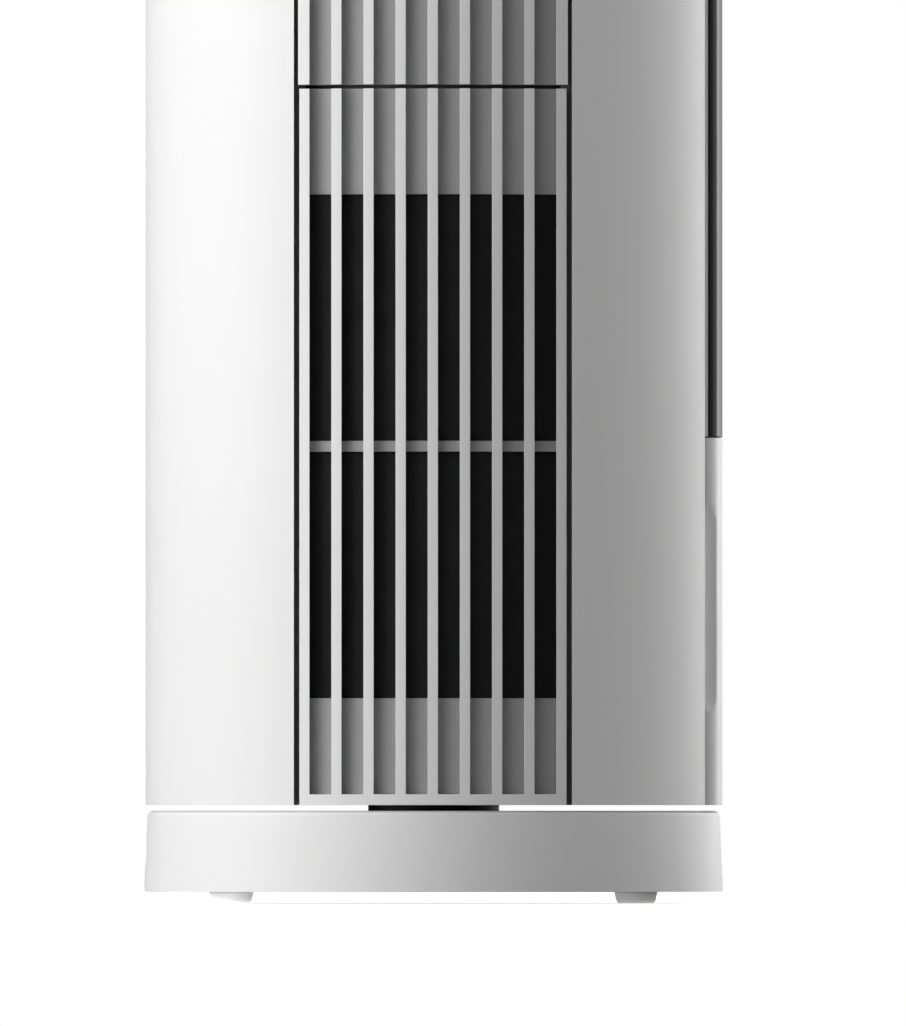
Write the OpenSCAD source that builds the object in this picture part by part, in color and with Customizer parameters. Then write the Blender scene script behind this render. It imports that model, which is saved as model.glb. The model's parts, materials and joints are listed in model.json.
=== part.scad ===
// Portable tower air conditioner of the evaporative kind, in millimetres.
// A round tower turns on a low round base. Air enters through a slotted filter cover on each
// side, passes a wet pad, is lifted by a centrifugal fan and leaves through the black front.
// +Z is up, the front faces -Y, and the origin is the centre of the floor under the feet.

/* [Overall] */
// Outer diameter of the tower
body_d = 220; // [218:1:222]
// Height from the floor to the top rim
total_h = 690; // [680:5:720]
// Wall of the moulded shells
shell_t = 2.6; // [2.2:0.1:2.8]

/* [Base] */
// Height of a rubber foot
foot_h = 4.4; // [3.5:0.1:5]
// Height of the base housing
base_h = 30.9; // [30.9:0.1:33]
// Radius of the base at its lower edge, over that of the tower
base_flare = 0.6; // [0:0.1:1]
// Open gap between the base and the tower
swivel_gap = 2.15; // [1.5:0.05:2.5]
// Diameter of the turning neck
neck_d = 50; // [49:0.5:50]
// Fore and aft offset of the feet
foot_y = 77.2; // [72:0.1:80]
// Sideways offset of the feet
foot_x = 44; // [40:1:50]

/* [Side grilles] */
// Number of upright slots on each side
slot_count = 8; // [8:1:8]
// Slot width
slot_w = 8.3; // [7.5:0.1:8.5]
// Distance from slot to slot
slot_pitch = 12.2; // [12:0.05:12.25]
// Radial depth of the grooves
groove_depth = 7; // [6:0.5:10]
// Half width of the grille inserts
insert_half = 50.7; // [50:0.1:51.5]
// Width of the dark reveal beside the inserts
side_reveal = 2.1; // [1:0.1:2.3]
// Height of the filter cover
cover_h = 272; // [270:0.1:280]
// Reveal above the filter cover
top_reveal = 1.5; // [1:0.1:1.8]
// Height of each of the two filter windows
window_h = 93.6; // [85:0.1:94]
// Height of the crossbar between the windows
crossbar_h = 4.1; // [3:0.1:6]
// Distance from the cover's lower edge to the lower window
window_z = 40.6; // [38:0.1:44]

/* [Front] */
// Distance from the axis to the middle of the front face
front_reach = 110.3; // [110.1:0.1:110.6]
// Radius of the shallow front face
front_r = 242.6; // [200:0.1:300]
// Radius of the front's rounded corners
corner_r = 11.4; // [11:0.1:11.4]
// Height of the white tank front
tank_front_h = 140; // [139.5:0.1:141]
// Height of the air outlet
outlet_h = 214; // [190:1:214]
// Swing of the louvers to each side, in degrees
louver_swing = 30; // [10:1:30]

/* [Fan and drive] */
// Radius of the centrifugal impeller
impeller_r = 72; // [66:1:74]
// Number of impeller blades
blade_count = 9; // [7:1:11]
// Tooth module of the swivel drive
tooth_module = 1.25; // [1.25:0.05:1.25]
// Teeth on the gear that turns the tower
gear_teeth = 56; // [56:1:56]
// Teeth on the motor's pinion
pinion_teeth = 16; // [16:1:16]

/* [Hidden] */
$fn = 96;
eps = 0.01;

// Plan of the tower
body_r = body_d / 2;
shell_in = body_r - shell_t;
groove_r = body_r - groove_depth;
insert_in = groove_r - 2.6;
edge_y = insert_half + side_reveal;
flange_out = insert_in - 0.4;
flange_in = flange_out - 2.8;
flange_y = 48.5;
deck_r = shell_in - 0.6;
deck_side_r = flange_in - 0.5;

// Heights of the base and of the tower's ends
base_top = foot_h + base_h;
plate_top = foot_h + 3;
tower_z = base_top + swivel_gap;
floor_z = tower_z + 1;
floor_top = floor_z + 3;
cap_h = 34;
shell_top = total_h - cap_h;
cap_reveal = 0.8;
cover_top = tower_z + cover_h;
upper_z = cover_top + top_reveal;
cell = slot_pitch * (slot_count - 1) / 2;
slots_half = cell + slot_w / 2;
rim = 4.1;

// Front profile: a shallow arc that runs into a rounded corner at each side
front_cy = -front_reach + front_r;
corner_x = 25.4;
corner_y = front_cy - sqrt(pow(front_r - corner_r, 2) - corner_x * corner_x);
corner_turn = asin(corner_x / (front_r - corner_r));
front_open = 37.2;
tank_top = tower_z + tank_front_h;
panel_z = tank_top + 0.5;
panel_top = shell_top - 0.8;
panel_edge_y = -104.7;
skin_t = 2.4;
trim_turn = 21;
trim_w = 1.8;

// Outlet and louvers
outlet_z = 402;
outlet_top = outlet_z + outlet_h;
outlet_half = 24;
louver_y = -91;
louver_gap = 17;
louver_chord = 21;
louver_z = outlet_z - 2;
louver_top = outlet_top + 2;
louver_pin_r = 1.5;
crank_arm = 9;
shelf_low = louver_z - 6;
shelf_high = louver_top + 10;
shelf_t = 3;

// Fan, from the deck upwards
fan_deck_z = 285;
casing_in = impeller_r + 16;
casing_top = 371.6;
inlet_r = 45;
impeller_z = 296.5;
impeller_h = 44;
motor_z = 346;
motor_r = 36;
shaft_r = 4;
duct_r = 78;
duct_z = 375;
duct_top = shelf_high;

// Swivel drive
neck_r = neck_d / 2;
neck_bore = 14;
gear_z = 10;
gear_h = 7;
gear_pitch_r = tooth_module * gear_teeth / 2;
pinion_pitch_r = tooth_module * pinion_teeth / 2;
drive_distance = gear_pitch_r + pinion_pitch_r;
pressure_angle = 20;
backlash = 0.16;
running = 0.06;

// Wet side
tank_half = 32;
tank_back = -40;
tank_face = -100;
tank_z = floor_top + 2.9;
tank_h = 127.8;
tray_z = 54;
tray_h = 18;
pad_z = tray_z + tray_h;
pad_h = 198;
pad_x = 66;
pad_t = 14;
pad_half = 43;
hose_y = 37;
hose_z = pad_z + pad_h + 7;
pump_y = 24;
wire_x = 57;
wire_y = 80;
bulkhead_y = 60;

// Controls
panel_face = total_h - 1.6;
panel_t = 4;
control_r = 85;
button_r = 7;
button_y = -56;
button_step = 30;
button_proud = 1;
board_z = total_h - 22;
stem_z = total_h - 11.8;

white = [0.93, 0.93, 0.92];
black = [0.05, 0.05, 0.055];
grey = [0.45, 0.46, 0.47];
steel = [0.72, 0.73, 0.75];

// ---------- plan helpers ----------

module ring_2d(outer, inner) {
    difference() {
        circle(outer);
        circle(inner);
    }
}

module box(x0, x1, y0, y1, z0, z1) {
    translate([x0, y0, z0]) cube([x1 - x0, y1 - y0, z1 - z0]);
}

module at(z0, z1) {
    translate([0, 0, z0]) linear_extrude(z1 - z0) children();
}

module rod(r, z0, z1) {
    translate([0, 0, z0]) cylinder(r = r, h = z1 - z0);
}

module tube(outer, inner, z0, z1) {
    difference() {
        rod(outer, z0, z1);
        rod(inner, z0 - 1, z1 + 1);
    }
}

module strip_2d(y0, y1, half = 150) {
    translate([-half, y0]) square([2 * half, y1 - y0]);
}

module wedge_2d(from, to, reach = 400) {
    polygon([[0, 0], [reach * cos(from), reach * sin(from)], [reach * cos(to), reach * sin(to)]]);
}

module both_sides() {
    children();
    mirror([1, 0, 0]) children();
}

// A point on a circle round the tower's axis
module spot(radius, angle) {
    translate([radius * cos(angle), radius * sin(angle), 0]) children();
}

boss_angles_rear = [60, 120];
boss_angles_front = [-52, -128];
boss_ring_r = body_r - 6.4;
boss_r = 4.2;
boss_h = 20;
module shell_bosses(angles, z) {
    for (a = angles) spot(boss_ring_r, a) tube(boss_r, 1.3, z, z + boss_h);
}

// Outline of a plate that fits inside the shells
module deck_2d() {
    difference() {
        union() {
            circle(deck_side_r);
            intersection() {
                circle(deck_r);
                union() {
                    strip_2d(edge_y + 3.4, 150);
                    strip_2d(-150, -edge_y - 3.4);
                }
            }
        }
        strip_2d(-150, -95.2, 41);
    }
}

// A skin that follows the front profile, between two insets
module front_skin_2d(outer, inner, back) {
    translate([0, front_cy]) intersection() {
        ring_2d(front_r - outer, front_r - inner, $fn = 720);
        wedge_2d(-90 - corner_turn, -90 + corner_turn);
    }
    both_sides() {
        translate([corner_x, corner_y]) intersection() {
            ring_2d(corner_r - outer, corner_r - inner, $fn = 360);
            wedge_2d(-90 + corner_turn, 0);
        }
        translate([corner_x + corner_r - inner, corner_y]) square([inner - outer, back - corner_y]);
        join = min(0.3, (inner - outer) / 4);
        corner_join_2d(corner_r - inner + join, corner_r - outer - join);
        translate([corner_x + corner_r - inner + join, corner_y - 0.5])
            square([inner - outer - 2 * join, 0.7]);
    }
}

// A narrow overlap across the line where the shallow arc meets the corner
module corner_join_2d(from, to) {
    translate([corner_x, corner_y]) rotate(corner_turn - 90) translate([from, -0.5]) square([to - from, 1]);
}

// The same outline, filled back to a straight line
module front_fill_2d(inset, back) {
    intersection() {
        union() {
            translate([0, front_cy]) intersection() {
                circle(front_r - inset, $fn = 720);
                wedge_2d(-90 - corner_turn, -90 + corner_turn);
            }
            both_sides() {
                translate([corner_x, corner_y]) intersection() {
                    circle(corner_r - inset);
                    wedge_2d(-90 + corner_turn, 0);
                }
                corner_join_2d(1, corner_r - inset - 0.5);
            }
        }
        strip_2d(-150, back);
    }
}

// ---------- base ----------

base_boss_angles = [70, 110, -70, -110];
base_boss_r = 92;
inlet_z = 18.5;
inlet_half_h = 6;

// The opening of the two-pin power inlet
module inlet_slot(r) {
    hull() both_sides() translate([3.6, 120, inlet_z]) rotate([90, 0, 0]) cylinder(r = r, h = 26);
}

module base_shell() {
    color(white) difference() {
        union() {
            rotate_extrude() difference() {
                polygon([[0, foot_h], [body_r + base_flare, foot_h], [body_r - 0.7, base_top - 2],
                    [body_r - 1.1, base_top - 0.9], [body_r - 1.8, base_top - 0.3], [body_r - 2.9, base_top],
                    [0, base_top]]);
                polygon([[-1, foot_h - 1], [body_r + base_flare - shell_t, foot_h - 1],
                    [body_r - 0.7 - shell_t, base_top - shell_t], [-1, base_top - shell_t]]);
            }
            rod(neck_r + 7, 26, base_top - 1);
            for (a = base_boss_angles) spot(base_boss_r, a)
                rod(boss_r, plate_top, base_top - 1);
        }
        rod(neck_r + 4.1, 0, base_top + 1);
        for (a = base_boss_angles) spot(base_boss_r, a)
            rod(1.3, 0, base_top - 6);
        inlet_slot(4.3);
    }
}

module base_plate() {
    color(grey) difference() {
        union() {
            rod(body_r - shell_t - 0.4, foot_h, plate_top);
            tube(33, 26, plate_top, gear_z);
            box(-10, 10, 92, 104, plate_top - 0.5, inlet_z - inlet_half_h);
        }
        for (a = base_boss_angles) spot(base_boss_r, a) {
            rod(1.8, 0, plate_top + 1);
            rod(3.4, foot_h - 1, foot_h + 1.6);
        }
    }
}

module rubber_feet() {
    color([0.9, 0.9, 0.9]) for (x = [-foot_x, foot_x], y = [-foot_y, foot_y]) translate([x, y, 0])
        rotate_extrude() polygon([[0, 0], [6.4, 0], [7.1, 0.4], [7.5, 1.2], [8.2, foot_h], [0, foot_h]]);
}

// A pan-head screw with a cross recess, head down, its shank rising from z = 0
module screw(shank_r, head_r, head_h, length) {
    difference() {
        union() {
            rod(head_r, -head_h, 0);
            rod(shank_r, -eps, length);
        }
        for (turn = [0, 90]) rotate(turn)
            box(-head_r * 0.6, head_r * 0.6, -0.35, 0.35, -head_h - 1, -head_h * 0.4);
    }
}

module base_screws() {
    color(steel) for (a = base_boss_angles) spot(base_boss_r, a)
        translate([0, 0, foot_h + 1.6]) screw(1.25, 3, 1.5, 16);
}

module ballast_plates() {
    color(steel) for (a = [-60, 120]) rotate(a)
        translate([0, 0, plate_top]) rotate_extrude(angle = 120) translate([50, 0]) square([52, 6]);
}

module swivel_bush() {
    color([0.9, 0.88, 0.8]) difference() {
        union() {
            rod(neck_r + 4, 26, base_top - 0.3);
            rod(neck_r + 6.5, 24.6, 26);
        }
        rod(neck_r + running, 0, base_top + 1);
    }
}

// Involute gear outline, with the tooth space on the +X axis when half_tooth is false
function involute(base_radius, t) =
    [base_radius * (cos(t) + t * PI / 180 * sin(t)), base_radius * (sin(t) - t * PI / 180 * cos(t))];
function polar_angle(p) = atan2(p[1], p[0]);
function turned(p, a) = [p[0] * cos(a) - p[1] * sin(a), p[0] * sin(a) + p[1] * cos(a)];
module gear_2d(teeth) {
    pitch_r = tooth_module * teeth / 2;
    base_radius = pitch_r * cos(pressure_angle);
    tip_r = pitch_r + tooth_module;
    root_r = pitch_r - 1.25 * tooth_module;
    start_r = max(base_radius, root_r + 0.05);
    t_of = function(r) sqrt(max(0, pow(r / base_radius, 2) - 1)) * 180 / PI;
    half = 90 / teeth - backlash / pitch_r * 90 / PI + polar_angle(involute(base_radius, t_of(pitch_r)));
    steps = 5;
    flank = [for (i = [0 : steps]) involute(base_radius, t_of(start_r + (tip_r - start_r) * i / steps))];
    polygon([for (k = [0 : teeth - 1]) let (mid = 360 * k / teeth) each concat(
        [turned([root_r, 0], mid - half)],
        [for (p = flank) turned(p, mid - half)],
        [for (i = [steps : -1 : 0]) turned([flank[i][0], -flank[i][1]], mid + half)],
        [turned([root_r, 0], mid + half)])]);
}

gear_screw_angles = [-90, -30, 210];
gear_screw_r = 19.5;

module swing_gear() {
    color([0.88, 0.86, 0.78]) difference() {
        at(gear_z, gear_z + gear_h) rotate(-90) gear_2d(gear_teeth);
        rod(neck_bore, 0, 50);
        for (a = gear_screw_angles) spot(gear_screw_r, a) {
            rod(1.7, 0, 50);
            rod(3.2, gear_z - 1, gear_z + 2.4);
        }
    }
}

module swing_pinion() {
    color([0.88, 0.86, 0.78]) translate([0, -drive_distance, 0]) {
        at(gear_z + 0.2, gear_z + gear_h - 0.2) rotate(90 + 180 / pinion_teeth) gear_2d(pinion_teeth);
        rod(2.5, gear_z + 1, 22);
    }
}

module swing_motor() {
    color(steel) difference() {
        union() {
            translate([0, -drive_distance - 8, 0]) rod(14, 18.4, base_top - shell_t);
            translate([0, -drive_distance, 0]) rod(4.5, 17.2, 18.5);
            box(-21, 21, -drive_distance - 11.5, -drive_distance - 4.5, base_top - shell_t - 1,
                base_top - shell_t);
        }
        translate([0, -drive_distance, 0]) rod(2.5 + running, 0, 22.6);
        both_sides() translate([17.5, -drive_distance - 8, 0]) rod(1.7, 0, 60);
    }
}

module power_inlet() {
    color(black) {
        difference() {
            intersection() {
                box(-10, 10, 86, 115, inlet_z - inlet_half_h, inlet_z + inlet_half_h);
                rod(body_r - 3.1, 0, 60);
            }
            inlet_slot(4.1);
        }
        both_sides() translate([4.3, 103, inlet_z]) rotate([90, 0, 0]) cylinder(r = 1.2, h = 10);
    }
}

lead_z = 21.7;
lead_r = 2.2;
module supply_lead() {
    color(black) {
        translate([0, 86, lead_z]) rotate([90, 0, 0]) cylinder(r = lead_r, h = 86);
        translate([0, 0, lead_z]) sphere(lead_r);
        rod(lead_r, lead_z, floor_top + 3);
    }
}

// ---------- neck and floor of the tower ----------

flange_screw_angles = [0 : 60 : 300];
module neck_column() {
    color(black) difference() {
        union() {
            rod(neck_r, gear_z + gear_h, floor_top + 1);
            rod(neck_r + 9, floor_top, floor_top + 3);
        }
        rod(neck_bore, 0, 60);
        at(18.5, 24.4) difference() {
            wedge_2d(35, 145, 60);
            circle(5);
        }
        for (a = gear_screw_angles) spot(gear_screw_r, a) rod(1.3, 0, 30);
        for (a = flange_screw_angles) spot(neck_r + 5, a) rod(1.8, 0, 60);
    }
}

module tower_floor() {
    color(white) difference() {
        union() {
            at(floor_z, floor_top) deck_2d();
            for (x = [-60, 60], y = [-38, 38]) translate([x, y, 0]) rod(5, floor_top - 1, tray_z);
        }
        rod(neck_r + 0.3, 0, 60);
        for (a = flange_screw_angles) spot(neck_r + 5, a) rod(1.3, 0, floor_top + 1);
        for (a = concat(boss_angles_rear, boss_angles_front)) spot(boss_ring_r, a) {
            rod(1.7, 0, 60);
            rod(3.3, 0, floor_z + 1.5);
        }
    }
}

module tower_screws() {
    color(steel) {
        for (a = concat(boss_angles_rear, boss_angles_front)) spot(boss_ring_r, a)
            translate([0, 0, floor_z + 1.5]) screw(1.25, 3, 1.4, 14);
        for (a = gear_screw_angles) spot(gear_screw_r, a)
            translate([0, 0, gear_z + 2.4]) screw(1.25, 3, 1.8, 12);
        for (a = flange_screw_angles) spot(neck_r + 5, a) translate([0, 0, floor_top + 3])
            mirror([0, 0, 1]) screw(1.25, 3, 1.6, 5);
    }
}

// ---------- shells ----------

module shell_edge_2d() {
    intersection() {
        circle(body_r);
        both_sides() translate([flange_in * cos(asin(edge_y / flange_in)), edge_y]) square([40, shell_t]);
    }
    intersection() {
        ring_2d(flange_out, flange_in);
        strip_2d(flange_y, edge_y + shell_t);
    }
}

handle_z = 570;
handle_h = 36;
handle_half = 48;
handle_frame = 8;
rear_seam = 549;
seam_gap = 0.5;
module rear_skin(z0, z1) {
    at(z0, z1) {
        intersection() {
            ring_2d(body_r, shell_in);
            strip_2d(edge_y, 150);
        }
        shell_edge_2d();
    }
}

// Tabs that hold the two rear shells in line
module seam_tabs() {
    for (a = [68, 90, 112]) rotate(a) {
        at(rear_seam - 12, rear_seam - 0.4) intersection() {
            ring_2d(shell_in + 0.3, shell_in - 2);
            wedge_2d(-5, 5);
        }
        at(rear_seam - 1, rear_seam + 9) intersection() {
            ring_2d(shell_in - 0.1, shell_in - 2);
            wedge_2d(-5, 5);
        }
    }
}

module rear_shell() {
    color(white) {
        rear_skin(tower_z, rear_seam);
        shell_bosses(boss_angles_rear, floor_top);
        seam_tabs();
    }
}

module rear_shell_upper() {
    grow = handle_frame + 0.3;
    color(white) difference() {
        union() {
            rear_skin(rear_seam + seam_gap, shell_top);
            shell_bosses(boss_angles_rear, shell_top - boss_h);
        }
        box(-handle_half - grow, handle_half + grow, 60, 120, handle_z - grow, handle_z + handle_h + grow);
    }
}

module front_shell() {
    color(white) {
        at(tower_z, shell_top) {
            intersection() {
                ring_2d(body_r, shell_in);
                strip_2d(-150, -edge_y);
                difference() {
                    circle(160);
                    translate([-front_open, -150]) square([2 * front_open, 100]);
                }
            }
            mirror([0, 1, 0]) shell_edge_2d();
            both_sides() intersection() {
                circle(body_r - 1);
                translate([front_open, -104]) square([shell_t, 8]);
            }
        }
        for (z = [floor_top, shell_top - boss_h]) shell_bosses(boss_angles_front, z);
        for (z = [tank_top + 1, shell_top - 5])
            box(-front_open - 1, front_open + 1, -96.6, -92, z, z + 2.5);
        both_sides() for (z = [tank_top + 1, shell_top - 5])
            box(front_open - 1, front_open + shell_t, -96.6, -92, z, z + 2.5);
    }
}

// Plan of one side insert, on the +X side
module insert_2d(outer, inner, half) {
    intersection() {
        ring_2d(outer, inner);
        translate([0, -half]) square([150, 2 * half]);
    }
}

module slots(z0, z1) {
    for (i = [0 : slot_count - 1]) let (y = -cell + i * slot_pitch) at(z0, z1) difference() {
        translate([60, y - slot_w / 2]) square([80, slot_w]);
        circle(groove_r);
    }
}

// The fixed grille fills more of the opening than the cover, which needs room to come out
upper_grow = 0.5;
module upper_grille() {
    difference() {
        at(upper_z, shell_top - 0.4) insert_2d(body_r, insert_in, insert_half + upper_grow);
        slots(upper_z - 1, shell_top - 0.4 - rim);
    }
}

module upper_grille_right() {
    color(white) upper_grille();
}

module upper_grille_left() {
    color(white) mirror([1, 0, 0]) upper_grille();
}

module filter_cover() {
    difference() {
        union() {
            at(tower_z, cover_top) insert_2d(body_r, insert_in, insert_half);
            for (y = [-36, 26]) box(86, groove_r - 5, y, y + 10, floor_top + 0.4, floor_top + 2.4);
        }
        slots(tower_z + rim, cover_top + 1);
        for (i = [0, 1]) let (z = tower_z + window_z + i * (window_h + crossbar_h))
            at(z, z + window_h) insert_2d(groove_r, insert_in - 2, slots_half);
    }
}

module filter_cover_right() {
    color(white) filter_cover();
}

module filter_cover_left() {
    color(white) mirror([1, 0, 0]) filter_cover();
}

filter_in = insert_in - 3.8;
filter_out = insert_in - 0.3;
filter_half = flange_y - 0.8;
filter_z = tower_z + window_z - 8;
filter_h = 2 * window_h + crossbar_h + 16;
module filter() {
    difference() {
        at(filter_z, filter_z + filter_h) insert_2d(filter_out, filter_in, filter_half);
        for (i = [0, 1], j = [-1, 0, 1]) let (cell_z = filter_z + i * (filter_h - 6) / 2)
            at(cell_z + 6, cell_z + filter_h / 2 - 3) intersection() {
                ring_2d(filter_out - 1.4, filter_in - 2);
                translate([0, j * 30.4 - 13.4]) square([150, 26.8]);
            }
    }
}

module filter_right() {
    color(black) filter();
}

module filter_left() {
    color(black) mirror([1, 0, 0]) filter();
}

// ---------- front ----------

module outlet_cut(half, z0, z1) {
    box(-half, half, -130, -100, z0, z1);
}

module front_frame() {
    color(white) difference() {
        union() {
            at(panel_z, panel_top) difference() {
                intersection() {
                    front_skin_2d(0, 4.6, -97);
                    strip_2d(-150, -97);
                }
                intersection() {
                    front_skin_2d(-1, skin_t + 0.1, -97);
                    strip_2d(-150, panel_edge_y + 0.1);
                }
            }
            for (z = [shelf_low, shelf_high]) intersection() {
                box(-27, 27, -120, -79.5, z, z + shelf_t);
                at(z, z + shelf_t) front_fill_2d(3, -79);
            }
        }
        outlet_cut(outlet_half + 0.6, outlet_z - 0.6, outlet_top + 0.6);
        outlet_cut(14, 338, 360);
        for (x = [-louver_gap, 0, louver_gap]) translate([x, louver_y, 0]) {
            rod(louver_pin_r + running, shelf_low - 1, shelf_low + shelf_t + 1);
            rod(louver_pin_r + running, shelf_high - 1, shelf_high + shelf_t + 1);
        }
    }
}

module front_panel() {
    color(black) difference() {
        at(panel_z, panel_top) difference() {
            intersection() {
                front_skin_2d(0, skin_t, -97);
                strip_2d(-150, panel_edge_y);
            }
            trim_2d(trim_w + 0.1, 1.05);
        }
        outlet_cut(outlet_half, outlet_z, outlet_top);
    }
}

module trim_2d(width, depth) {
    both_sides() translate([corner_x, corner_y]) rotate(trim_turn - 90)
        translate([corner_r - depth, -width / 2]) square([depth + 0.1, width]);
}

module trim_strips() {
    color(grey) at(panel_z, panel_top) trim_2d(trim_w, 1);
}

slat_count = 22;
slat_t = 1.8;
module outlet_grille() {
    inner_z = outlet_z + 0.3;
    span = outlet_h - 0.6;
    half = outlet_half - 0.3;
    color(black) {
        for (i = [0 : slat_count]) let (z = inner_z + i * (span - slat_t) / slat_count)
            at(z, z + slat_t) intersection() {
                front_skin_2d(0.5, 5.6, -97);
                strip_2d(-150, -90, half);
            }
        at(inner_z, inner_z + span) intersection() {
            front_skin_2d(1.6, 5.6, -97);
            union() {
                for (x = [-half, -0.9, half - 1.8]) translate([x, -150]) square([1.8, 60]);
            }
        }
    }
}

module display_module() {
    color(black) difference() {
        box(-16, 16, -105, -101, 336, 362);
        box(-14, 14, -110, -103.8, 338, 360);
    }
}

// ---------- water tank ----------

module tank_front() {
    color(white) difference() {
        union() {
            at(tower_z, tank_top) front_skin_2d(0, 2.8, -96);
            for (z = [tower_z, tank_top - 2.8]) at(z, z + 2.8) front_fill_2d(1, tank_face);
            both_sides() box(18, 21, -107, tank_face, tower_z + 1, tank_top - 1);
        }
        both_sides() grip_scoop();
    }
}

scoop_r = 26;
scoop_depth = 1.1;
scoop_z0 = 72.3;
scoop_z1 = 152.5;
module grip_scoop() {
    reach = corner_r + scoop_r - scoop_depth;
    run_out = sqrt(2 * scoop_r * scoop_depth);
    translate([corner_x + reach * cos(45), corner_y - reach * sin(45), 0]) {
        rod(scoop_r, scoop_z0 + run_out, scoop_z1 - run_out);
        for (z = [scoop_z0 + run_out, scoop_z1 - run_out]) translate([0, 0, z]) sphere(scoop_r);
    }
}

float_x = 20;
float_y = -56;
module water_tank() {
    color([0.75, 0.85, 0.9, 0.5]) {
        difference() {
            box(-tank_half, tank_half, tank_face, tank_back, tank_z, tank_z + tank_h);
            box(-tank_half + 2, tank_half - 2, tank_face + 2, tank_back - 2, tank_z + 2, tank_z + tank_h + 1);
        }
        translate([float_x, float_y, 0]) rod(2, tank_z + 1, tank_z + tank_h - 14);
    }
}

module tank_lid() {
    color(white) difference() {
        union() {
            box(-tank_half, tank_half, tank_face, tank_back, tank_z + tank_h, tank_z + tank_h + 2.2);
            box(-tank_half + 2.3, tank_half - 2.3, tank_face + 2.3, tank_back - 2.3,
                tank_z + tank_h - 3, tank_z + tank_h + 0.5);
        }
        box(-tank_half + 4.3, tank_half - 4.3, tank_face + 4.3, tank_back - 4.3,
            tank_z + tank_h - 4, tank_z + tank_h - 0.1);
        translate([-10, -70, 0]) rod(12, tank_z, 300);
    }
}

module level_float() {
    color([0.9, 0.4, 0.2]) translate([float_x, float_y, 0]) tube(7.5, 2.35, tank_z + 2.4, tank_z + 14);
}

module tank_cradle() {
    color(grey) difference() {
        box(-35, 35, -95, -36.4, floor_top, tank_top - 0.6);
        box(-33, 33, -96, -38.4, floor_top + 2.3, tank_top - 2.6);
        translate([0, -50, 0]) rod(6, 0, 60);
    }
}

// ---------- wet section ----------

module tray_2d(inset) {
    difference() {
        translate([-81 + inset, -45 + inset]) square([162 - 2 * inset, 90 - 2 * inset]);
        translate([-37.5 - inset, -60]) square([75 + 2 * inset, 25 + inset]);
    }
}

module drip_tray() {
    color(grey) {
        difference() {
            at(tray_z, pad_z - 2) tray_2d(0);
            at(tray_z + 2, pad_z + 5) tray_2d(2);
        }
        both_sides() for (y = [-41, 35]) box(pad_x + 3, pad_x + 11, y, y + 6, tray_z + 1, pad_z);
    }
}

module cooling_pads() {
    color([0.6, 0.42, 0.25]) both_sides()
        box(pad_x, pad_x + pad_t, -pad_half, pad_half, pad_z, pad_z + pad_h);
}

module water_troughs() {
    trough_z = pad_z + pad_h;
    color(grey) both_sides() difference() {
        box(pad_x - 1.5, pad_x + pad_t + 1.5, -45, 45, trough_z - 4, trough_z + 13);
        box(pad_x, pad_x + pad_t, -43.5, 43.5, trough_z + 2, trough_z + 20);
        box(pad_x - 0.05, pad_x + pad_t + 0.05, -43.05, 43.05, trough_z - 5, trough_z);
        for (y = [-36 : 12 : 36]) translate([pad_x + pad_t / 2, y, 0]) rod(1.5, trough_z - 5, trough_z + 5);
        translate([pad_x - 5, hose_y, hose_z]) rotate([0, 90, 0]) cylinder(r = 4.1, h = 8);
    }
}

module pump_body() {
    color(black) translate([0, pump_y, 0]) difference() {
        union() {
            rod(17, tray_z + 2, tray_z + 36);
            translate([0, hose_y - pump_y, 0]) rod(2.7, tray_z + 30, tray_z + 46);
        }
        rod(13, tray_z + 5, tray_z + 17);
        rod(1.5 + running, tray_z + 4, tray_z + 28);
        for (turn = [0 : 45 : 315]) rotate(turn) box(8, 20, -1.5, 1.5, tray_z + 6, tray_z + 9);
    }
}

module pump_rotor() {
    color([0.8, 0.8, 0.75]) translate([0, pump_y, 0]) {
        rod(1.5, tray_z + 6, tray_z + 27);
        rod(11, tray_z + 11, tray_z + 12.4);
        for (turn = [0 : 60 : 300]) rotate(turn) box(1, 11, -0.7, 0.7, tray_z + 7, tray_z + 11.5);
    }
}

module pump_hose() {
    color([0.85, 0.9, 0.92]) difference() {
        union() {
            translate([0, hose_y, 0]) rod(4, tray_z + 36.2, hose_z);
            translate([-pad_x + 0.2, hose_y, hose_z]) rotate([0, 90, 0]) cylinder(r = 4, h = 2 * pad_x - 0.4);
        }
        translate([0, hose_y, 0]) rod(2.75, tray_z + 36, hose_z);
        translate([-pad_x - 1, hose_y, hose_z]) rotate([0, 90, 0]) cylinder(r = 2.75, h = 2 * pad_x + 2);
    }
}

module rear_bulkhead() {
    color(grey) difference() {
        union() {
            box(-80, 80, bulkhead_y, bulkhead_y + 2.5, floor_top, fan_deck_z);
            for (x = [-36, 36], z = [80, 190]) translate([x, bulkhead_y + 2, z]) rotate([-90, 0, 0])
                cylinder(r = 3.5, h = 4);
        }
        translate([0, 50, floor_top + 6]) rotate([-90, 0, 0]) cylinder(r = 5, h = 30);
    }
}

board_y = bulkhead_y + 6;
module power_board() {
    color([0.1, 0.35, 0.2]) {
        box(-45, 45, board_y, board_y + 1.6, 68, 202);
        box(-38, -6, board_y + 1.5, board_y + 25, 78, 108);
        box(4, 30, board_y + 1.5, board_y + 12, 80, 90);
        for (x = [8, 28], z = [112, 140]) translate([x, board_y + 1.5, z]) rotate([-90, 0, 0])
            cylinder(r = 7.5, h = 20);
        box(-36, -10, board_y + 1.5, board_y + 6, 124, 150);
        for (x = [-30, -8, 14]) box(x, x + 14, board_y + 1.5, board_y + 9, 180, 192);
    }
}

// Short straight runs of cable, joined by round elbows
module run(points, r) {
    for (i = [0 : len(points) - 2]) let (a = points[i], d = points[i + 1] - a, l = norm(d))
        translate(a) rotate([0, acos(d[2] / l), atan2(d[1], d[0])]) cylinder(r = r, h = l);
    for (i = [1 : len(points) - 2]) translate(points[i]) sphere(r + 0.2);
}

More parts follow.
